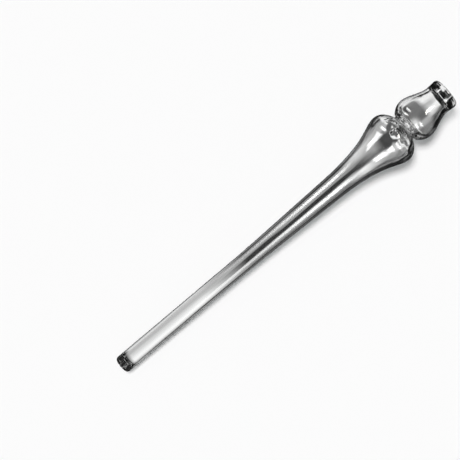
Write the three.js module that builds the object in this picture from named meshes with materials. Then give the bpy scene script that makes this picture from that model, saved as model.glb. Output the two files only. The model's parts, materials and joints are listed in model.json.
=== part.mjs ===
// A lampworked glass pipette for adding drops of water to a dram, lying on a
// table. A slim tube with a fine hole flares into a small reservoir, which
// closes in a dome. An airway tube is sealed through the dome and a pinched
// neck into a tulip-shaped head, whose rim a fingertip closes.
// Millimetres, +Z up. The glass is turned round one axis, all but the slant of
// the airway's lip: a point of an outline is its radius from the axis and its
// station along it from the tip.
import * as THREE from "three";

// Dropping tip: the thick, fire-polished end with the fine hole
const TIP_LENGTH = 5.0;
const TIP_CORNER = 1.5;
const TIP_CAVITY_DEPTH = 2.1;
const ORIFICE_DIAMETER = 1.8;
const ORIFICE_MOUTH = 0.35;

// Stem: a parallel tube, then a slow taper
const STEM_DIAMETER = 8.0;
const STEM_WALL = 1.0;
const STEM_LENGTH = 55.0;
const TAPER_LENGTH = 56.8;
const TAPER_DIAMETER = 10.6;
const TAPER_WALL = 1.3;
const TAPER_SLOPE = 0.026; // growth of radius per length where the flare begins

// Reservoir: the flare, and the dome that closes it
const FLARE_LENGTH = 33.8;
const FLARE_HOLD = 26.0; // reach of the taper's slope into the flare
const FLARE_CREST = 5.8; // reach of the level stretch before the widest ring
const BODY_DIAMETER = 23.4;
const BODY_WALL = 2.3;
const DOME_RISE = 7.7; // of the whole dome, which the neck cuts short
const DOME_DEPTH = 6.2; // of the part below the neck
const DOME_FLOOR = 0.6; // glass between the reservoir and the neck, at the airway

// Airway: the tube that is sealed through the dome
const AIRWAY_BORE = 3.5;
const AIRWAY_WALL = 1.7;
const AIRWAY_REACH = 3.4; // length that stands free inside the reservoir, at its middle
const LIP_SLANT = 0.6; // how far the lip leans back per distance above the axis

// Neck: the pinched groove between the dome and the head
const NECK_LENGTH = 1.7;
const NECK_DIAMETER = 11.7;

// Head: the tulip bowl, its chimney and the thumb rim
const BOWL_DIAMETER = 19.6;
const BOWL_RISE = 8.1; // of the whole bowl, which the neck cuts short
const BOWL_DEPTH = 5.3; // of the part above the neck
const BOWL_WALL = 1.5;
const BOWL_FLOOR = 1.2;
const SHOULDER_LENGTH = 11.9;
const CHIMNEY_DIAMETER = 13.4;
const CHIMNEY_WALL = 1.9;
const RIM_LENGTH = 5.5;
const RIM_BEAD = 0.2; // how far the rim stands proud of the chimney
const RIM_CORNER = 1.6;
const RIM_CAVITY_DEPTH = 2.0;
const THUMB_HOLE_DIAMETER = 5.0;
const THUMB_HOLE_MOUTH = 0.9;

// Facets
const AROUND = 40;
const CORNER_STEPS = 5;
const DOME_STEPS = 8;
const NECK_STEPS = 4;
const FLARE_STEPS = 12;
const TAPER_STEPS = 5;
const SHOULDER_STEPS = 10;
const BEAD_STEPS = 3;

const tipRadius = STEM_DIAMETER / 2;
const taperRadius = TAPER_DIAMETER / 2;
const bodyRadius = BODY_DIAMETER / 2;
const neckRadius = NECK_DIAMETER / 2;
const bowlRadius = BOWL_DIAMETER / 2;
const chimneyRadius = CHIMNEY_DIAMETER / 2;
const rimRadius = chimneyRadius + RIM_BEAD;
const orificeRadius = ORIFICE_DIAMETER / 2;
const thumbHoleRadius = THUMB_HOLE_DIAMETER / 2;
const airwayRadius = AIRWAY_BORE / 2;
const airwayOutside = airwayRadius + AIRWAY_WALL;

const stemStart = TIP_LENGTH;
const taperStart = stemStart + STEM_LENGTH;
const flareStart = taperStart + TAPER_LENGTH;
const widest = flareStart + FLARE_LENGTH;
const neckStart = widest + DOME_DEPTH;
const sealStart = neckStart - DOME_FLOOR;
const bowlStart = neckStart + NECK_LENGTH;
const bowlFloor = bowlStart + BOWL_FLOOR;
const bowlWidest = bowlStart + BOWL_DEPTH;
const rimStart = bowlWidest + SHOULDER_LENGTH;
const rimEnd = rimStart + RIM_LENGTH;

const quarter = Math.PI / 2;
const point = (radius, station) => new THREE.Vector2(radius, station);

// A curve that leaves its start with one slope (growth of radius per length)
// and reaches its end with another, holding each for its own length.
function blend(start, slopeOut, holdOut, end, slopeIn, holdIn, steps) {
  return new THREE.CubicBezierCurve(
    start,
    point(start.x + slopeOut * holdOut, start.y + holdOut),
    point(end.x - slopeIn * holdIn, end.y - holdIn),
    end,
  ).getPoints(steps);
}

// Part of an ellipse. Angle 0 is straight out from the axis, and a quarter
// turn points along it towards the rim.
function arc(centre, across, along, from, to, steps) {
  return Array.from({ length: steps + 1 }, (_, i) => {
    const angle = from + ((to - from) * i) / steps;
    return point(centre.x + across * Math.cos(angle), centre.y + along * Math.sin(angle));
  });
}

// The taper, the flare and the head's shoulder each serve twice: as the
// outside, and drawn in by the wall at each end as the inside.
function taperLine(wallStart, wallEnd) {
  const start = point(tipRadius - wallStart, taperStart);
  const end = point(taperRadius - wallEnd, flareStart);
  const hold = TAPER_LENGTH / 3;
  return blend(start, 0, hold, end, TAPER_SLOPE, hold, TAPER_STEPS);
}

function flareLine(wallStart, wallEnd) {
  const start = point(taperRadius - wallStart, flareStart);
  const end = point(bodyRadius - wallEnd, widest);
  return blend(start, TAPER_SLOPE, FLARE_HOLD, end, 0, FLARE_CREST, FLARE_STEPS);
}

function shoulderLine(wallStart, wallEnd) {
  const start = point(bowlRadius - wallStart, bowlWidest);
  const end = point(chimneyRadius - wallEnd, rimStart);
  const hold = SHOULDER_LENGTH / 3;
  return blend(start, 0, hold, end, 0, hold, SHOULDER_STEPS);
}

const shoulderOutside = shoulderLine(0, 0);
const shoulderInside = shoulderLine(BOWL_WALL, CHIMNEY_WALL);
const shoulderCut = SHOULDER_STEPS / 2;

// Where the neck cuts the ellipses of the dome and the bowl, as an angle on
// each, with the point there and how steeply the glass falls to the groove
const domeCut = Math.asin(DOME_DEPTH / DOME_RISE);
const domeEdge = point(bodyRadius * Math.cos(domeCut), neckStart);
const domeFall = (bodyRadius / DOME_RISE) * Math.tan(domeCut);
const bowlCut = Math.asin(BOWL_DEPTH / BOWL_RISE);
const bowlEdge = point(bowlRadius * Math.cos(bowlCut), bowlStart);
const bowlFall = (bowlRadius / BOWL_RISE) * Math.tan(bowlCut);

// Each section below is a ring of glass between an outer and an inner line,
// both drawn from the tip's side towards the rim.
function droppingTip() {
  const mouth = point(orificeRadius + ORIFICE_MOUTH, 0);
  const corner = point(tipRadius - TIP_CORNER, TIP_CORNER);
  const cavity = point(orificeRadius, stemStart);
  const boreStep = tipRadius - STEM_WALL - orificeRadius;
  return {
    outer: [
      mouth,
      ...arc(corner, TIP_CORNER, TIP_CORNER, -quarter, 0, CORNER_STEPS),
      point(tipRadius, stemStart),
    ],
    inner: [
      mouth,
      point(orificeRadius, ORIFICE_MOUTH),
      ...arc(cavity, boreStep, TIP_CAVITY_DEPTH, -quarter, 0, CORNER_STEPS),
    ],
  };
}

function stemTube() {
  const boreRadius = tipRadius - STEM_WALL;
  return {
    outer: [point(tipRadius, stemStart), point(tipRadius, taperStart)],
    inner: [point(boreRadius, stemStart), point(boreRadius, taperStart)],
  };
}

function stemTaper() {
  return { outer: taperLine(0, 0), inner: taperLine(STEM_WALL, TAPER_WALL) };
}

function reservoirFlare() {
  return { outer: flareLine(0, 0), inner: flareLine(TAPER_WALL, BODY_WALL) };
}

// The dome's inside is the arc from the body's wall up to the airway tube.
function reservoirDome() {
  const centre = point(0, widest);
  const insideRadius = bodyRadius - BODY_WALL;
  const sealAngle = Math.acos(airwayOutside / insideRadius);
  const insideRise = (sealStart - widest) / Math.sin(sealAngle);
  return {
    outer: arc(centre, bodyRadius, DOME_RISE, 0, domeCut, DOME_STEPS),
    inner: [
      ...arc(centre, insideRadius, insideRise, 0, sealAngle, DOME_STEPS),
      point(airwayOutside, neckStart),
    ],
  };
}

// The tube's lower end stands free in the reservoir, melted to a round lip,
// and its upper end is flush with the head's floor.
function airwayTube() {
  const lipRound = AIRWAY_WALL / 2;
  const lipEnd = sealStart - AIRWAY_REACH;
  const lip = arc(
    point(airwayRadius + lipRound, lipEnd + lipRound),
    lipRound,
    lipRound,
    -2 * quarter,
    0,
    CORNER_STEPS,
  );
  return {
    outer: [...lip, point(airwayOutside, bowlFloor)],
    inner: [lip[0], point(airwayRadius, bowlFloor)],
  };
}

// The groove falls from the dome, turns at the waist and climbs to the bowl.
function neckRing() {
  const waist = point(neckRadius, neckStart + NECK_LENGTH / 2);
  const hold = NECK_LENGTH / 4;
  return {
    outer: [
      ...blend(domeEdge, -domeFall, hold, waist, 0, hold, NECK_STEPS),
      ...blend(waist, 0, hold, bowlEdge, bowlFall, hold, NECK_STEPS),
    ],
    inner: [point(airwayOutside, neckStart), point(airwayOutside, bowlStart)],
  };
}

function headBowl() {
  const insideStep = bowlRadius - BOWL_WALL - airwayOutside;
  return {
    outer: [
      ...arc(point(0, bowlWidest), bowlRadius, BOWL_RISE, -bowlCut, 0, DOME_STEPS),
      ...shoulderOutside.slice(0, shoulderCut + 1),
    ],
    inner: [
      point(airwayOutside, bowlStart),
      ...arc(
        point(airwayOutside, bowlWidest),
        insideStep,
        BOWL_DEPTH - BOWL_FLOOR,
        -quarter,
        0,
        DOME_STEPS,
      ),
      ...shoulderInside.slice(0, shoulderCut + 1),
    ],
  };
}

function headChimney() {
  return {
    outer: shoulderOutside.slice(shoulderCut),
    inner: shoulderInside.slice(shoulderCut),
  };
}

// The rim swells a little from the chimney, and its inside closes to the hole
// that a fingertip seals.
function thumbRim() {
  const cornerStart = rimEnd - RIM_CORNER;
  const hold = (cornerStart - rimStart) / 3;
  const corner = point(rimRadius - RIM_CORNER, cornerStart);
  const mouth = point(thumbHoleRadius + THUMB_HOLE_MOUTH, rimEnd - THUMB_HOLE_MOUTH);
  const cavityStep = chimneyRadius - CHIMNEY_WALL - thumbHoleRadius;
  return {
    outer: [
      ...blend(
        point(chimneyRadius, rimStart),
        0,
        hold,
        point(rimRadius, cornerStart),
        0,
        hold,
        BEAD_STEPS,
      ),
      ...arc(corner, RIM_CORNER, RIM_CORNER, 0, quarter, CORNER_STEPS),
    ],
    inner: [
      ...arc(
        point(thumbHoleRadius, rimStart),
        cavityStep,
        RIM_CAVITY_DEPTH,
        0,
        quarter,
        CORNER_STEPS,
      ),
      ...arc(mouth, THUMB_HOLE_MOUTH, THUMB_HOLE_MOUTH, 2 * quarter, quarter, CORNER_STEPS),
    ],
  };
}

const sections = {
  dropping_tip: droppingTip(),
  stem_tube: stemTube(),
  stem_taper: stemTaper(),
  reservoir_flare: reservoirFlare(),
  reservoir_dome: reservoirDome(),
  airway_tube: airwayTube(),
  neck_ring: neckRing(),
  head_bowl: headBowl(),
  head_chimney: headChimney(),
  thumb_rim: thumbRim(),
};

const clearGlass = () =>
  new THREE.MeshStandardMaterial({
    color: 0xe6ebea,
    roughness: 0.03,
    metalness: 0,
    transparent: true,
    opacity: 0.35,
  });

// The outline runs along the outside and back along the inside, without the
// points that its pieces share. Half a facet of turn puts a flat underneath.
function glassRing(name, { outer, inner }) {
  const outline = [...outer, ...[...inner].reverse(), outer[0]];
  const distinct = outline.filter((p, i) => i === 0 || p.distanceTo(outline[i - 1]) > 1e-6);
  const ring = new THREE.LatheGeometry(distinct, AROUND, Math.PI / AROUND);
  const mesh = new THREE.Mesh(ring, clearGlass());
  mesh.name = name;
  return mesh;
}

// The airway's free lip is cut on the slant, so that its mouth faces up.
function slantLip(mesh) {
  const places = mesh.geometry.attributes.position;
  for (let i = 0; i < places.count; i += 1) {
    if (places.getY(i) < sealStart) {
      places.setY(i, places.getY(i) + LIP_SLANT * places.getZ(i));
    }
  }
  mesh.geometry.computeVertexNormals();
}

const pipette = new THREE.Group();
for (const [name, section] of Object.entries(sections)) {
  pipette.add(glassRing(name, section));
}
slantLip(pipette.getObjectByName("airway_tube"));

// It lies on the edge of its tip and on the flat under its widest part, so
// the axis climbs as steeply as the steepest line from one to the other.
const flatness = Math.cos(Math.PI / AROUND);
const climb = Object.values(sections)
  .flatMap(({ outer }) => outer)
  .filter((p) => p.y > stemStart)
  .reduce((steepest, p) => {
    const slope = (flatness * (p.x - tipRadius)) / (p.y - TIP_CORNER);
    return Math.max(steepest, slope);
  }, 0);
pipette.rotation.set(0, -Math.atan(climb), -quarter, "YXZ");

// The origin is on the table, under the middle of the length.
const lying = new THREE.Group();
lying.add(pipette);
const extent = new THREE.Box3().setFromObject(lying, true);
pipette.position.set(-(extent.min.x + extent.max.x) / 2, 0, -extent.min.z);

export default lying;
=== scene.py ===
"""A clear, lampworked glass pipette lying on a white table between two softboxes."""
import json
import math

import bpy
from mathutils import Matrix, Vector, noise

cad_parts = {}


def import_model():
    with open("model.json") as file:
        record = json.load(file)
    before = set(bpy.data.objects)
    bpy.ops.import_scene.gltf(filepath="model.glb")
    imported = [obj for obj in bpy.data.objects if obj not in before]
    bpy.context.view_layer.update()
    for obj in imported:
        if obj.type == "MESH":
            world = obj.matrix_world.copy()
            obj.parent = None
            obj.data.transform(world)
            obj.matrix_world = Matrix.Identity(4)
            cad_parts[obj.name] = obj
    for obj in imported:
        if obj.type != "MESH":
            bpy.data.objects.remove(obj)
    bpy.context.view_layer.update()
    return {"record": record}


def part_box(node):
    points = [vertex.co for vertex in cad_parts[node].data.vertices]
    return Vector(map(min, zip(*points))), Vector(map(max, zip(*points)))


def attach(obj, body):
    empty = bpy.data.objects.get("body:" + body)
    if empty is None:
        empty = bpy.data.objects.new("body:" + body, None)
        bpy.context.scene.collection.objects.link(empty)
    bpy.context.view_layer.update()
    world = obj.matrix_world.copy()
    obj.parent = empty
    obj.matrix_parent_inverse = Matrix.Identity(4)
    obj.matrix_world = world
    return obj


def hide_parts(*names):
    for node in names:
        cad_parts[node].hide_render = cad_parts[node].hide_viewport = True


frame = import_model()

MM = 0.001
QUARTER = math.pi / 2

# The glass, in millimetres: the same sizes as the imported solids
TIP_LENGTH = 5.0
TIP_CORNER = 1.5
TIP_CAVITY_DEPTH = 2.1
ORIFICE_DIAMETER = 1.8
ORIFICE_MOUTH = 0.35
STEM_DIAMETER = 8.0
STEM_WALL = 1.0
STEM_LENGTH = 55.0
TAPER_LENGTH = 56.8
TAPER_DIAMETER = 10.6
TAPER_WALL = 1.3
TAPER_SLOPE = 0.026
FLARE_LENGTH = 33.8
FLARE_HOLD = 26.0
FLARE_CREST = 5.8
BODY_DIAMETER = 23.4
BODY_WALL = 2.3
DOME_RISE = 7.7
DOME_DEPTH = 6.2
DOME_FLOOR = 0.6
AIRWAY_BORE = 3.5
AIRWAY_WALL = 1.7
AIRWAY_REACH = 3.4
LIP_SLANT = 0.6  # how far the airway's lip leans back per distance above the axis
NECK_LENGTH = 1.7
NECK_DIAMETER = 11.7
BOWL_DIAMETER = 19.6
BOWL_RISE = 8.1
BOWL_DEPTH = 5.3
BOWL_WALL = 1.5
BOWL_FLOOR = 1.2
SHOULDER_LENGTH = 11.9
CHIMNEY_DIAMETER = 13.4
CHIMNEY_WALL = 1.9
RIM_LENGTH = 5.5
RIM_BEAD = 0.2
RIM_CORNER = 1.6
RIM_CAVITY_DEPTH = 2.0
THUMB_HOLE_DIAMETER = 5.0
THUMB_HOLE_MOUTH = 0.9

# Edges that the flame melts round, and that the solids keep sharp
SEAL_FILLET = 0.9
EDGE_MELT = 0.5

# How far the walls stray from true: lines that the draw leaves everywhere, and
# ripples that the seal leaves in the dome's inner wall, round one station
DRAW_LINES = 0.02
DRAW_CELLS_ALONG = 0.04  # per millimetre
SEAL_RIPPLE = 0.7
RIPPLE_CELLS = 0.4  # per millimetre
RIPPLE_BEFORE_NECK = 3.0
RIPPLE_REACH = 9.0
RIPPLE_CLEARANCE = 0.5  # how far from the airway tube the rippled wall starts

# The solids have this many flats, and the round glass fits inside them
CAD_FACETS = 40
ROUND = math.cos(math.pi / CAD_FACETS)

# The mesh: segments round the glass, how finely curves are cut, steps of a long
# and of a short straight stretch, and how near two points are one
AROUND = 160
FINE = 4
LONG = 10
SHORT = 4
SAME_POINT = 1e-4
ON_TUBE = 1e-3  # how near the airway tube's surface a point is on it

INNER_GLOSS_AND_OUTLINE = 0.15  # the inner surface's share of the outer one's gloss and of its painted outline shade

STEM_START = TIP_LENGTH
TAPER_START = STEM_START + STEM_LENGTH
FLARE_START = TAPER_START + TAPER_LENGTH
WIDEST = FLARE_START + FLARE_LENGTH
NECK_START = WIDEST + DOME_DEPTH
BOWL_START = NECK_START + NECK_LENGTH
BOWL_WIDEST = BOWL_START + BOWL_DEPTH
RIM_START = BOWL_WIDEST + SHOULDER_LENGTH
RIM_END = RIM_START + RIM_LENGTH
SEAL_ROOT = NECK_START - DOME_FLOOR
AIRWAY_RADIUS = AIRWAY_BORE / 2 + AIRWAY_WALL

# A point of an outline is its radius and its station, which is how far along the
# axis it is from the tip's end


def cubic(p0, p1, p2, p3, steps):
    points = []
    for i in range(steps + 1):
        t = i / steps
        u = 1 - t
        points.append(p0 * u**3 + p1 * 3 * u * u * t + p2 * 3 * u * t * t + p3 * t**3)
    return points


def blend(start, slope_out, hold_out, end, slope_in, hold_in, steps):
    """A cubic from start to end, which holds each end's slope for a length."""
    a = Vector((start[0] + slope_out * hold_out, start[1] + hold_out))
    b = Vector((end[0] - slope_in * hold_in, end[1] - hold_in))
    return cubic(Vector(start), a, b, Vector(end), steps)


def arc(centre, across, along, start, end, steps):
    """Part of an ellipse: angle 0 is straight out from the axis."""
    points = []
    for i in range(steps + 1):
        angle = start + (end - start) * i / steps
        radius = centre[0] + across * math.cos(angle)
        station = centre[1] + along * math.sin(angle)
        points.append(Vector((radius, station)))
    return points


def straight(start, end, steps):
    a, b = Vector(start), Vector(end)
    return [a.lerp(b, i / steps) for i in range(steps + 1)]


def melt(line, following, length, steps=6):
    """Joins two lines that meet at a corner, with the corner melted round."""
    corner = line[-1]
    while len(line) > 1 and (line[-1] - corner).length < length:
        line = line[:-1]
    while len(following) > 1 and (following[0] - corner).length < length:
        following = following[1:]
    start = corner + (line[-1] - corner).normalized() * length
    end = corner + (following[0] - corner).normalized() * length
    rounded = []
    for i in range(steps + 1):
        t = i / steps
        rounded.append(start * (1 - t) ** 2 + corner * 2 * t * (1 - t) + end * t * t)
    return line + rounded + following


def taper(wall_start, wall_end):
    """The taper's surface, this far inside its outer one at the two ends."""
    start = (STEM_DIAMETER / 2 - wall_start, TAPER_START)
    end = (TAPER_DIAMETER / 2 - wall_end, FLARE_START)
    hold = TAPER_LENGTH / 3
    return blend(start, 0, hold, end, TAPER_SLOPE, hold, 8 * FINE)


def flare(wall_start, wall_end):
    """The same for the reservoir's flare."""
    start = (TAPER_DIAMETER / 2 - wall_start, FLARE_START)
    end = (BODY_DIAMETER / 2 - wall_end, WIDEST)
    return blend(start, TAPER_SLOPE, FLARE_HOLD, end, 0, FLARE_CREST, 12 * FINE)


def shoulder(wall_start, wall_end):
    """The same for the head, from the bowl's widest to the rim."""
    start = (BOWL_DIAMETER / 2 - wall_start, BOWL_WIDEST)
    end = (CHIMNEY_DIAMETER / 2 - wall_end, RIM_START)
    hold = SHOULDER_LENGTH / 3
    return blend(start, 0, hold, end, 0, hold, 8 * FINE)


def dome_and_neck():
    """The outer surface of the dome, the pinched neck and the bowl's lower half."""
    body = BODY_DIAMETER / 2
    bowl = BOWL_DIAMETER / 2
    dome_cut = math.asin(DOME_DEPTH / DOME_RISE)
    bowl_cut = math.asin(BOWL_DEPTH / BOWL_RISE)
    dome_edge = (body * math.cos(dome_cut), NECK_START)
    bowl_edge = (bowl * math.cos(bowl_cut), BOWL_START)
    dome_fall = body / DOME_RISE * math.tan(dome_cut)
    bowl_fall = bowl / BOWL_RISE * math.tan(bowl_cut)
    waist = (NECK_DIAMETER / 2, NECK_START + NECK_LENGTH / 2)
    hold = NECK_LENGTH / 4
    return (
        arc((0, WIDEST), body, DOME_RISE, 0, dome_cut, 8 * FINE)
        + blend(dome_edge, -dome_fall, hold, waist, 0, hold, 3 * FINE)[1:]
        + blend(waist, 0, hold, bowl_edge, bowl_fall, hold, 3 * FINE)[1:]
        + arc((0, BOWL_WIDEST), bowl, BOWL_RISE, -bowl_cut, 0, 6 * FINE)[1:]
    )


def rim_outside():
    """The outer surface of the thumb rim, a slight bead with a rounded end."""
    chimney = CHIMNEY_DIAMETER / 2
    rim = chimney + RIM_BEAD
    corner = RIM_END - RIM_CORNER
    hold = (corner - RIM_START) / 3
    return (
        blend((chimney, RIM_START), 0, hold, (rim, corner), 0, hold, 2 * FINE)
        + arc((rim - RIM_CORNER, corner), RIM_CORNER, RIM_CORNER, 0, QUARTER, 4 * FINE)[1:]
    )


def outside_line():
    """The outer surface, from the hole in the tip to the hole in the rim."""
    tip = STEM_DIAMETER / 2
    return (
        arc((tip - TIP_CORNER, TIP_CORNER), TIP_CORNER, TIP_CORNER, -QUARTER, 0, 3 * FINE)
        + straight((tip, TIP_CORNER), (tip, TAPER_START), LONG)[1:]
        + taper(0, 0)[1:]
        + flare(0, 0)[1:]
        + dome_and_neck()[1:]
        + shoulder(0, 0)[1:]
        + rim_outside()[1:]
    )


def thumb_hole():
    radius = THUMB_HOLE_DIAMETER / 2
    mouth = (radius + THUMB_HOLE_MOUTH, RIM_END - THUMB_HOLE_MOUTH)
    rounded = arc(mouth, THUMB_HOLE_MOUTH, THUMB_HOLE_MOUTH, QUARTER, 2 * QUARTER, 2 * FINE)
    return rounded + straight(rounded[-1], (radius, RIM_START + RIM_CAVITY_DEPTH), SHORT)[1:]


def head_inside():
    """The inner surface of the head, from under the rim to the airway's mouth."""
    thumb = THUMB_HOLE_DIAMETER / 2
    chimney = CHIMNEY_DIAMETER / 2 - CHIMNEY_WALL
    bowl = BOWL_DIAMETER / 2 - BOWL_WALL
    floor = BOWL_START + BOWL_FLOOR
    across = bowl - AIRWAY_RADIUS
    along = BOWL_DEPTH - BOWL_FLOOR
    return (
        arc((thumb, RIM_START), chimney - thumb, RIM_CAVITY_DEPTH, QUARTER, 0, 4 * FINE)
        + shoulder(BOWL_WALL, CHIMNEY_WALL)[::-1][1:]
        + arc((AIRWAY_RADIUS, BOWL_WIDEST), across, along, 0, -QUARTER, 6 * FINE)[1:]
        + straight((AIRWAY_RADIUS, floor), (AIRWAY_BORE / 2, floor), SHORT)[1:]
    )


def airway():
    """The airway tube: down its bore, round its lip and back up its outside."""
    bore = AIRWAY_BORE / 2
    floor = BOWL_START + BOWL_FLOOR
    lip_round = AIRWAY_WALL / 2
    lip = (bore + lip_round, SEAL_ROOT - AIRWAY_REACH + lip_round)
    return (
        straight((bore, floor), (bore, lip[1]), LONG)
        + arc(lip, lip_round, lip_round, 2 * QUARTER, 4 * QUARTER, 4 * FINE)[1:]
        + straight((AIRWAY_RADIUS, lip[1]), (AIRWAY_RADIUS, SEAL_ROOT), SHORT)[1:]
    )


def body_inside():
    """The inner surface of the reservoir, the taper, the stem and the tip."""
    body = BODY_DIAMETER / 2 - BODY_WALL
    bore = STEM_DIAMETER / 2 - STEM_WALL
    orifice = ORIFICE_DIAMETER / 2
    seal_angle = math.acos(AIRWAY_RADIUS / body)
    seal_rise = (DOME_DEPTH - DOME_FLOOR) / math.sin(seal_angle)
    return (
        arc((0, WIDEST), body, seal_rise, seal_angle, 0, 8 * FINE)
        + flare(TAPER_WALL, BODY_WALL)[::-1][1:]
        + taper(STEM_WALL, TAPER_WALL)[::-1][1:]
        + straight((bore, TAPER_START), (bore, STEM_START), LONG)[1:]
        + arc((orifice, STEM_START), bore - orifice, TIP_CAVITY_DEPTH, 0, -QUARTER, 3 * FINE)[1:]
    )


def tip_hole():
    radius = ORIFICE_DIAMETER / 2
    mouth = (radius + ORIFICE_MOUTH, ORIFICE_MOUTH)
    wall = straight((radius, STEM_START - TIP_CAVITY_DEPTH), (radius, ORIFICE_MOUTH), SHORT)
    return wall + arc(mouth, ORIFICE_MOUTH, ORIFICE_MOUTH, 2 * QUARTER, 3 * QUARTER, FINE)[1:]


def inside_line():
    """The inner surface, from the hole in the rim back to the hole in the tip."""
    line = melt(thumb_hole(), head_inside(), EDGE_MELT)
    line = melt(line, airway(), EDGE_MELT)
    line = melt(line, body_inside(), SEAL_FILLET)
    return melt(line, tip_hole(), EDGE_MELT / 2)


def glass_axis():
    """Where the glass lies: local Z runs along its axis from the tip's end."""
    rim = next(m for m in frame["record"]["mounts"] if m["name"] == "thumb_rim_face")
    along = Vector(rim["axis"]).normalized()
    low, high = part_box("stem_tube")
    tip = (low + high) / 2 - along * (STEM_START + STEM_LENGTH / 2) * MM
    side = Vector((0, 1, 0))
    turned = Matrix((side.cross(along), side, along)).transposed().to_4x4()
    return Matrix.Translation(tip) @ turned


def slanted(radius, station, angle):
    """The station of a point, moved back where it is on the airway's free end."""
    lip_end = SEAL_ROOT - AIRWAY_REACH - ON_TUBE
    if radius > AIRWAY_RADIUS + ON_TUBE or not lip_end < station < SEAL_ROOT:
        return station
    free = min((SEAL_ROOT - station) / AIRWAY_REACH, 1)
    return station - LIP_SLANT * free * radius * math.cos(angle)


def stray(radius, station, angle, inside):
    """How far the wall lies inwards of its true radius at a point, in mm."""
    x, y = radius * math.cos(angle), radius * math.sin(angle)
    off = DRAW_LINES * (noise.noise(Vector((x, y, station * DRAW_CELLS_ALONG))) + 1)
    if inside and radius > AIRWAY_RADIUS + RIPPLE_CLEARANCE:
        away = abs(station - NECK_START + RIPPLE_BEFORE_NECK) / RIPPLE_REACH
        ripple = noise.noise(Vector((x, y, station)) * RIPPLE_CELLS)
        off += SEAL_RIPPLE * max(0, 1 - away) ** 2 * ripple
    return off


def linked(name, data):
    """A new object with this data, in the scene."""
    made = bpy.data.objects.new(name, data)
    bpy.context.scene.collection.objects.link(made)
    return made


def ring_points(outside, inside):
    """Each ring's point of the outline, and whether it is on the inner surface."""
    rings = [(outside[0], False)]
    for p, within in [(p, False) for p in outside[1:]] + [(p, True) for p in inside]:
        if (p - rings[-1][0]).length > SAME_POINT:
            rings.append((p, within))
    if (rings[0][0] - rings[-1][0]).length < SAME_POINT:
        rings.pop()
    return rings


def turned_glass(name, outside, inside, place):
    """One closed surface of glass, turned round the axis."""
    rings = ring_points(outside, inside)
    vertices = []
    for (radius, station), within in rings:
        for j in range(AROUND):
            angle = 2 * math.pi * j / AROUND
            r = (radius * ROUND - stray(radius, station, angle, within)) * MM
            height = slanted(radius, station, angle) * MM
            vertices.append(place @ Vector((r * math.cos(angle), r * math.sin(angle), height)))
    faces = []
    for i in range(len(rings)):
        k = (i + 1) % len(rings)
        for j in range(AROUND):
            m = (j + 1) % AROUND
            faces.append((i * AROUND + j, i * AROUND + m, k * AROUND + m, k * AROUND + j))
    mesh = bpy.data.meshes.new(name)
    mesh.from_pydata(vertices, [], faces)
    mesh.shade_smooth()
    gloss_and_outline_shade = mesh.attributes.new("gloss_and_outline_shade", "FLOAT", "POINT")
    for i, (_, within) in enumerate(rings):
        for j in range(AROUND):
            gloss_and_outline_shade.data[i * AROUND + j].value = INNER_GLOSS_AND_OUTLINE if within else 1.0
    return linked(name, mesh)


def principled(name):
    """A new material, with its node tree and its shader."""
    material = bpy.data.materials.new(name)
    material.use_nodes = True
    tree = material.node_tree
    return material, tree, tree.nodes["Principled BSDF"]


def feed(tree, value, socket):
    """Links another node's output to a socket, or writes a constant there."""
    if isinstance(value, bpy.types.NodeSocket):
        tree.links.new(value, socket)
    else:
        socket.default_value = value


def calculated(tree, operation, *values):
    """What a Math node makes of these values, each an output or a number."""
    node = tree.nodes.new("ShaderNodeMath")
    node.operation = operation
    for value, socket in zip(values, node.inputs):
        feed(tree, value, socket)
    return node.outputs[0]


def risen(tree, value, span, top=1.0, shape="LINEAR"):
    """How far a value has come through a span, from 0 to top."""
    node = tree.nodes.new("ShaderNodeMapRange")
    node.interpolation_type = shape
    node.inputs["From Min"].default_value, node.inputs["From Max"].default_value = span
    node.inputs["To Max"].default_value = top
    tree.links.new(value, node.inputs["Value"])
    return node.outputs["Result"]


def mixed(tree, factor, first, second, blend_type="MIX"):
    """Two colours mixed, each a node's output or a constant."""
    node = tree.nodes.new("ShaderNodeMix")
    node.data_type = "RGBA"
    node.blend_type = blend_type
    feed(tree, factor, node.inputs["Factor"])
    feed(tree, first, node.inputs["A"])
    feed(tree, second, node.inputs["B"])
    return node.outputs["Result"]


def graded(tree, value, span, stops):
    """A grey that follows stops of (metres, grey), from -span to span."""
    ramp = tree.nodes.new("ShaderNodeValToRGB")
    made = ramp.color_ramp.elements
    made.remove(made[1])
    for i, (at, grey) in enumerate(stops):
        position = (at / span + 1) / 2
        stop = made[0] if i == 0 else made.new(position)
        stop.position = position
        stop.color = (grey, grey, grey, 1)
    tree.links.new(risen(tree, value, (-span, span)), ramp.inputs["Fac"])
    return ramp.outputs["Color"]


def object_axes(tree):
    """The X, Y and Z of a point in the object's own metres."""
    where = tree.nodes.new("ShaderNodeTexCoord")
    axes = tree.nodes.new("ShaderNodeSeparateXYZ")
    tree.links.new(where.outputs["Object"], axes.inputs[0])
    return axes.outputs


def glow(tree, colour, strength=1.0):
    node = tree.nodes.new("ShaderNodeEmission")
    node.inputs["Strength"].default_value = strength
    tree.links.new(colour, node.inputs["Color"])
    return node.outputs[0]


def either_surface(tree, share, first, second, output):
    """Shows the first shader, or the second where share is 1."""
    mix = tree.nodes.new("ShaderNodeMixShader")
    for value, socket in zip((share, first, second), mix.inputs):
        tree.links.new(value, socket)
    tree.links.new(mix.outputs[0], output.inputs["Surface"])


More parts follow.
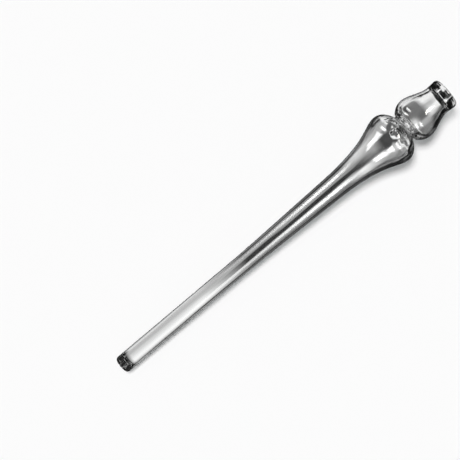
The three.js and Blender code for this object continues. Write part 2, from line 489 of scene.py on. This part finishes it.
GLASS_IOR = 1.5
GLASS_CLEAR = (0.993, 0.996, 0.994, 1.0)
GLASS_PAINTED_OUTLINE = (0.25, 0.255, 0.255, 1.0)  # painted outline shade: the glass darker where its surface turns from the eye, standing for the dark surroundings that the edges refract
PAINTED_OUTLINE_SPAN = (0.44, 0.66)  # how far from facing the eye the painted outline shade starts and is full
NO_GLOSS = (0.0, 0.0, 0.0, 1.0)  # the coat reflects, and the glass under it doesn't
POLISH = 0.05  # the softness that fire-polishing leaves in a reflection
POLISH_IOR = 1.8
SHADE_CLEAR = (0.76, 0.77, 0.77, 1.0)  # what one surface lets through to a shadow
SHADE_EDGE = (0.35, 0.35, 0.35, 1.0)
SHADE = (0.42, 0.8)  # how far from facing the eye the shadow's darker edge starts and is full

# The relief of the surface, as noise cells per metre along and across the
# glass: lines from the draw, and the soft waves of flame-worked glass
DRAW_CELLS = (25.0, 700.0, 700.0)
WAVE_CELLS = (120.0, 220.0, 220.0)
RELIEF = 0.00002  # metres
SMEAR = 0.02  # the most roughness that handling adds
SMEAR_SPAN = (0.45, 0.8)  # the waves' height where a smear starts and is full


def noise_cells(tree, where, per_metre):
    stretch = tree.nodes.new("ShaderNodeMapping")
    stretch.inputs["Scale"].default_value = per_metre
    tree.links.new(where, stretch.inputs["Vector"])
    texture = tree.nodes.new("ShaderNodeTexNoise")
    texture.inputs["Scale"].default_value = 1.0
    texture.inputs["Detail"].default_value = 1.0
    tree.links.new(stretch.outputs["Vector"], texture.inputs["Vector"])
    return texture.outputs["Fac"]


def relief_and_smears(tree):
    """The normal of the relief, and the roughness of the smears."""
    where = tree.nodes.new("ShaderNodeTexCoord").outputs["Object"]
    lines = noise_cells(tree, where, DRAW_CELLS)
    waves = noise_cells(tree, where, WAVE_CELLS)
    bump = tree.nodes.new("ShaderNodeBump")
    bump.inputs["Strength"].default_value = 1.0
    bump.inputs["Distance"].default_value = RELIEF
    tree.links.new(calculated(tree, "ADD", lines, waves), bump.inputs["Height"])
    return bump.outputs["Normal"], risen(tree, waves, SMEAR_SPAN, SMEAR)


def turned_away(tree, span):
    """How far a surface turns away from the eye, from 0 to 1 through a span."""
    facing = tree.nodes.new("ShaderNodeLayerWeight")
    facing.inputs["Blend"].default_value = 0.5
    return risen(tree, facing.outputs["Facing"], span, shape="SMOOTHSTEP")


def clear_glass():
    """Clear glass, with painted shade at its outline. Its polish is a coat that meets only light
    from the air.
    """
    material, tree, shader = principled("clear_glass")
    from_glass = tree.nodes.new("ShaderNodeNewGeometry").outputs["Backfacing"]
    from_air = calculated(tree, "SUBTRACT", 1.0, from_glass)
    attribute = tree.nodes.new("ShaderNodeAttribute")
    attribute.attribute_name = "gloss_and_outline_shade"
    gloss_and_outline_shade = attribute.outputs["Fac"]
    normal, smears = relief_and_smears(tree)
    # painted outline shade: the base colour darkens where the surface turns from the eye,
    # standing for the dark that the edges refract, and less on the inner surface
    painted_outline_shade = calculated(tree, "MULTIPLY", turned_away(tree, PAINTED_OUTLINE_SPAN), gloss_and_outline_shade)
    finish = {
        "Base Color": mixed(tree, painted_outline_shade, GLASS_CLEAR, GLASS_PAINTED_OUTLINE),
        "Roughness": smears,
        "IOR": GLASS_IOR,
        "Specular Tint": NO_GLOSS,
        "Transmission Weight": 1.0,
        "Normal": normal,
        "Coat Weight": calculated(tree, "MULTIPLY", from_air, gloss_and_outline_shade),
        "Coat Roughness": POLISH,
        "Coat IOR": POLISH_IOR,
        "Coat Normal": normal,
    }
    for socket, value in finish.items():
        feed(tree, value, shader.inputs[socket])
    shade = tree.nodes.new("ShaderNodeBsdfTransparent")
    tone = mixed(tree, turned_away(tree, SHADE), SHADE_CLEAR, SHADE_EDGE)
    tree.links.new(tone, shade.inputs["Color"])
    to_lamp = tree.nodes.new("ShaderNodeLightPath").outputs["Is Shadow Ray"]
    output = tree.nodes["Material Output"]
    either_surface(tree, to_lamp, shader.outputs[0], shade.outputs[0], output)
    return material


# The camera: the photograph's width in pixels, the focal length in those pixels,
# how the picture is turned, how far it stands above the middle of the glass, and
# where it stands over the table, along the glass from the tip's end and beside it
FRAME = 460
FOCAL = 1410.0
TURN = math.radians(40.15)
HEIGHT = 0.600
FROM_TIP = 0.0732
BESIDE = 0.0145
SENSOR = 36.0  # millimetres
NEAREST = 0.01  # what is nearer isn't seen


def camera(axis):
    data = bpy.data.cameras.new("camera")
    data.sensor_width = SENSOR
    data.lens = SENSOR * FOCAL / FRAME
    data.clip_start = NEAREST
    made = linked("camera", data)
    tip = axis.translation
    middle = axis @ Vector((0, 0, RIM_END / 2 * MM))
    made.location = (tip.x + FROM_TIP, tip.y + BESIDE, middle.z + HEIGHT)
    made.rotation_euler = (0, 0, -TURN)
    bpy.context.scene.camera = made


def hide_from(made, *rays):
    """Keeps an object or lamp out of these kinds of ray."""
    for ray in rays:
        setattr(made, f"visible_{ray}", False)


WARM = (1.0, 0.97, 0.9)


def round_light(name, place, across, radiance):
    """A warm oval lamp, facing down, which only the glass reflects."""
    data = bpy.data.lights.new(name, "AREA")
    data.shape = "ELLIPSE"
    data.size, data.size_y = across
    data.color = WARM
    area = math.pi / 4 * data.size * data.size_y
    data.energy = radiance * math.pi * area
    lamp = linked(name, data)
    lamp.location = place
    hide_from(lamp, "camera", "diffuse", "transmission")


def key_light(zenith, softness, strength):
    """The light that makes the shadow, from high on the +Y side."""
    data = bpy.data.lights.new("key_light", "SUN")
    data.energy = strength
    data.angle = math.radians(softness)
    lamp = linked("key_light", data)
    lamp.rotation_euler = (-math.radians(zenith), 0, 0)
    hide_from(lamp, "glossy", "transmission")


def card(name, corners):
    mesh = bpy.data.meshes.new(name)
    mesh.from_pydata(corners, [], [(0, 1, 2, 3)])
    return linked(name, mesh)


def flat_card(name, half_x, half_y):
    signs = ((-1, -1), (1, -1), (1, 1), (-1, 1))
    return card(name, [(x * half_x, y * half_y, 0) for x, y in signs])


SOFTBOX_DISTANCE = 0.6  # metres
SOFTBOX_REACH = 1.2  # half its length
# A softbox is brightest along its middle: shares of its half width, and grey
SOFT_EDGE = ((-1.0, 0.0), (-0.45, 1.0), (0.45, 1.0), (1.0, 0.0))


def lit_stretches(far, between):
    """A softbox's shares of brightness along X: two bright stretches.

    far is the share beyond them on the tip's side, and between is the share
    just before the second one.
    """
    return (
        (-0.5, far),
        (-0.42, 1.0),
        (-0.29, 1.0),
        (-0.24, 0.0),
        (-0.1, between),
        (-0.03, 1.0),
        (0.05, 1.0),
        (0.08, 0.0),
    )


def softbox(name, side, zenith, spread, radiance, along):
    """A long soft light beside the glass, which only its reflections show.

    side is 1 for +Y and -1 for -Y, zenith and spread are degrees from overhead,
    and along is how bright it is, as (metres along X, share).
    """
    half = SOFTBOX_DISTANCE * math.tan(math.radians(spread / 2))
    box = flat_card(name, SOFTBOX_REACH, half)
    angle = math.radians(zenith)
    box.location = Vector((0, side * math.sin(angle), math.cos(angle))) * SOFTBOX_DISTANCE
    box.rotation_euler = (-side * angle, 0, 0)
    material, tree, shader = principled(name)
    tree.nodes.remove(shader)
    axes = object_axes(tree)
    edges = [(share * half, grey) for share, grey in SOFT_EDGE]
    across = graded(tree, axes["Y"], half, edges)
    length = graded(tree, axes["X"], SOFTBOX_REACH, along)
    light = glow(tree, mixed(tree, 1.0, across, length, "MULTIPLY"), radiance)
    tree.links.new(light, tree.nodes["Material Output"].inputs["Surface"])
    box.data.materials.append(material)
    hide_from(box, "camera", "diffuse", "transmission", "shadow")


TABLE_HALF = 1.5  # metres
TABLE_WHITE = (0.95, 0.95, 0.95, 1)
CARD_BLACK = (0.004, 0.004, 0.004, 1)
# Half of what the gradings below cover, across the glass and along it
TABLE_SPAN = 0.08
ENDS_SPAN = 0.32
# Where the table turns pale again for the glass: beside it and beyond its rim
FAR = (0.026, 0.036)
BEYOND = (0.1, 0.102)
FAR_GREY = (0.9, 0.9, 0.9, 1)

# Painted light and shade: how brightly the table glows for a ray through the
# glass, as (metres across from under the axis, grey). It is graded in dark and
# pale bands that stand for black cards, for the photograph's view: one grading
# under each stretch of the glass, from the stem to the rim.
UNDER_STEM = (
    (-0.020, 0.02),
    (-0.009, 0.1),
    (-0.005, 0.7),
    (-0.003, 1.0),
    (-0.001, 0.95),
    (0.002, 0.5),
    (0.008, 0.75),
    (0.015, 0.9),
    (0.02, 0.03),
)
UNDER_TAPER = (
    (-0.020, 0.02),
    (-0.008, 0.1),
    (-0.0018, 0.6),
    (-0.0014, 0.03),
    (0.0007, 0.03),
    (0.0012, 0.35),
    (0.008, 0.3),
    (0.014, 0.03),
)
UNDER_BODY = (
    (-0.022, 0.1),
    (-0.017, 0.02),
    (-0.010, 0.03),
    (-0.007, 0.85),
    (-0.0028, 0.95),
    (-0.0022, 0.05),
    (0.001, 0.08),
    (0.003, 0.5),
    (0.007, 0.9),
    (0.011, 0.6),
    (0.014, 0.04),
    (0.017, 0.04),
    (0.021, 0.35),
)
UNDER_DOME = (
    (-0.017, 0.02),
    (-0.010, 0.05),
    (-0.006, 0.5),
    (-0.0025, 0.6),
    (-0.0015, 0.12),
    (0.0, 0.3),
    (0.008, 0.65),
    (0.012, 0.4),
    (0.016, 0.04),
    (0.021, 0.35),
)
UNDER_LIP = (
    (-0.014, 0.02),
    (-0.009, 0.3),
    (-0.004, 0.6),
    (-0.003, 0.06),
    (0.004, 0.06),
    (0.006, 0.5),
    (0.012, 0.4),
    (0.016, 0.03),
)
UNDER_NECK = (
    (-0.014, 0.02),
    (-0.008, 1.0),
    (0.0, 1.0),
    (0.0015, 0.1),
    (0.005, 0.1),
    (0.0065, 1.0),
    (0.021, 1.0),
    (0.025, 0.1),
)
UNDER_BOWL = (
    (-0.055, 0.9),
    (-0.045, 0.01),
    (-0.017, 0.02),
    (-0.014, 0.2),
    (-0.007, 0.13),
    (-0.005, 0.4),
    (-0.0025, 0.8),
    (-0.001, 0.7),
    (0.001, 0.2),
    (0.004, 0.13),
    (0.006, 0.055),
    (0.0095, 0.055),
    (0.011, 1.0),
)
UNDER_HEAD = (
    (-0.055, 0.9),
    (-0.045, 0.01),
    (-0.024, 0.02),
    (-0.021, 0.3),
    (-0.012, 0.19),
    (-0.008, 0.2),
    (-0.006, 0.36),
    (-0.0045, 0.48),
    (-0.003, 0.2),
    (-0.0015, 0.13),
    (0.001, 0.17),
    (0.007, 0.18),
    (0.009, 0.4),
    (0.011, 1.0),
)
UNDER_SHOULDER = (
    (-0.055, 0.9),
    (-0.045, 0.005),
    (-0.010, 0.005),
    (-0.007, 0.05),
    (-0.005, 0.5),
    (-0.003, 0.9),
    (-0.001, 0.95),
    (0.0, 0.65),
    (0.002, 0.5),
    (0.0035, 0.75),
    (0.005, 1.0),
)
UNDER_CHIMNEY = (
    (-0.055, 0.9),
    (-0.045, 0.005),
    (-0.008, 0.005),
    (-0.0065, 0.07),
    (-0.005, 0.4),
    (-0.004, 0.9),
    (-0.001, 1.0),
    (0.001, 0.75),
    (0.004, 0.85),
    (0.008, 1.0),
)
UNDER_RIM = (
    (-0.055, 0.9),
    (-0.045, 0.005),
    (0.002, 0.005),
    (0.005, 1.0),
    (0.016, 1.0),
    (0.022, 0.01),
    (0.03, 0.01),
    (0.036, 0.9),
)
UNDER_CAP = (
    (-0.055, 0.9),
    (-0.045, 0.005),
    (0.03, 0.005),
    (0.036, 0.9),
)
# Each grading after the stem's comes in from one place along X to another. Those
# of the head reach further across than FAR, so they come after it
UNDER = (
    ((-0.045, -0.02), UNDER_TAPER),
    ((0.035, 0.045), UNDER_BODY),
    ((0.043, 0.053), UNDER_DOME),
    ((0.053, 0.058), UNDER_LIP),
    ((0.0625, 0.064), UNDER_NECK),
)
UNDER_ENDS = (
    ((0.0657, 0.0667), UNDER_BOWL),
    ((0.072, 0.077), UNDER_HEAD),
    ((0.080, 0.083), UNDER_SHOULDER),
    ((0.085, 0.087), UNDER_CHIMNEY),
    ((0.0872, 0.0882), UNDER_RIM),
    ((0.0885, 0.0895), UNDER_CAP),
)
# Painted shade, the same all along the glass: a dark band at the tip, as (metres along X, grey)
ENDS = (
    (-0.102, 1.0),
    (-0.1, 0.02),
    (-0.0875, 0.02),
    (-0.0865, 1.0),
    (0.3, 1.0),
)
# Painted reflection: how pale the table glows for rays that the glass mirrors, as (metres
# across, grey)
PAINTED_REFLECTION_GREYS = (
    (-0.05, 0.01),
    (0.05, 0.02),
)


def blended(tree, axes, seen, under):
    """Takes over from one grading to the next along the glass."""
    for span, stops in under:
        following = graded(tree, axes["Y"], TABLE_SPAN, stops)
        seen = mixed(tree, risen(tree, axes["X"], span), seen, following)
    return seen


def painted_through_glass(tree, axes):
    """The painted light and shade that the table glows with for a ray that comes through the
    glass.
    """
    seen = graded(tree, axes["Y"], TABLE_SPAN, UNDER_STEM)
    seen = blended(tree, axes, seen, UNDER)
    aside = calculated(tree, "ABSOLUTE", axes["Y"])
    seen = mixed(tree, risen(tree, aside, FAR), seen, FAR_GREY)
    seen = blended(tree, axes, seen, UNDER_ENDS)
    seen = mixed(tree, risen(tree, axes["X"], BEYOND), seen, FAR_GREY)
    ends = graded(tree, axes["X"], ENDS_SPAN, ENDS)
    return mixed(tree, 1.0, seen, ends, "MULTIPLY")


def matt(shader, colour):
    shader.inputs["Base Color"].default_value = colour
    shader.inputs["Roughness"].default_value = 1.0
    shader.inputs["Specular IOR Level"].default_value = 0.0


def table():
    """A white table. Through and off the glass it glows in painted bands of light and shade,
    which stand for black cards.
    """
    piece = flat_card("table", TABLE_HALF, TABLE_HALF)
    material, tree, shader = principled("table_white")
    matt(shader, TABLE_WHITE)
    axes = object_axes(tree)
    painted_reflection = graded(tree, axes["Y"], TABLE_SPAN, PAINTED_REFLECTION_GREYS)
    path = tree.nodes.new("ShaderNodeLightPath").outputs
    through, glossy = path["Is Transmission Ray"], path["Is Glossy Ray"]
    # what the glass shows of the table is an emission of painted light and shade, not its lit
    # colour
    seen = glow(tree, mixed(tree, through, painted_reflection, painted_through_glass(tree, axes)))
    by_glass = calculated(tree, "MAXIMUM", through, glossy)
    output = tree.nodes["Material Output"]
    either_surface(tree, by_glass, shader.outputs[0], seen, output)
    piece.data.materials.append(material)


def black_card(name, along, half, top):
    """A card that stands on the table beyond an end, for the glass alone to see."""
    corners = [(along, -half, 0), (along, half, 0), (along, half, top), (along, -half, top)]
    piece = card(name, corners)
    material, _, shader = principled("card_black")
    matt(shader, CARD_BLACK)
    piece.data.materials.append(material)
    hide_from(piece, "camera", "diffuse", "shadow")


WHITE = (1, 1, 1, 1)
ROOM = (0.03, 0.03, 0.03, 1)  # the dark studio, which reflections and soft light meet


def background(tree, colour):
    node = tree.nodes.new("ShaderNodeBackground")
    node.inputs["Color"].default_value = colour
    return node.outputs[0]


def world():
    """White to the camera and through the glass, and otherwise a dark room."""
    made = bpy.data.worlds.new("studio")
    bpy.context.scene.world = made
    made.use_nodes = True
    tree = made.node_tree
    tree.nodes.clear()
    path = tree.nodes.new("ShaderNodeLightPath").outputs
    seen = calculated(tree, "MAXIMUM", path["Is Camera Ray"], path["Is Transmission Ray"])
    output = tree.nodes.new("ShaderNodeOutputWorld")
    either_surface(tree, seen, background(tree, ROOM), background(tree, WHITE), output)


axis = glass_axis()
glass = turned_glass("pipette_glass", outside_line(), inside_line(), axis)
glass.data.materials.append(clear_glass())
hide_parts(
    "dropping_tip",
    "stem_tube",
    "stem_taper",
    "reservoir_flare",
    "reservoir_dome",
    "airway_tube",
    "neck_ring",
    "head_bowl",
    "head_chimney",
    "thumb_rim",
)
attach(glass, "root")

table()
world()
black_card("card_rim", along=0.1, half=0.02, top=0.03)
black_card("card_tip", along=-0.1, half=0.02, top=0.05)
key_light(zenith=13, softness=16, strength=3.2)
softbox(
    "softbox_left",
    side=1,
    zenith=57,
    spread=38,
    radiance=8.5,
    along=lit_stretches(far=0.0, between=0.0),
)
softbox(
    "softbox_right",
    side=-1,
    zenith=40,
    spread=38,
    radiance=8.5,
    along=lit_stretches(far=0.3, between=0.2),
)
round_light("head_light", (0.8, -0.3, 0.6), across=(0.55, 0.6), radiance=14)
camera(axis)

BOUNCES = 24
scene = bpy.context.scene
scene.view_settings.view_transform = "Standard"
scene.cycles.caustics_reflective = False
scene.cycles.caustics_refractive = False
scene.cycles.transmission_bounces = BOUNCES
scene.cycles.max_bounces = BOUNCES
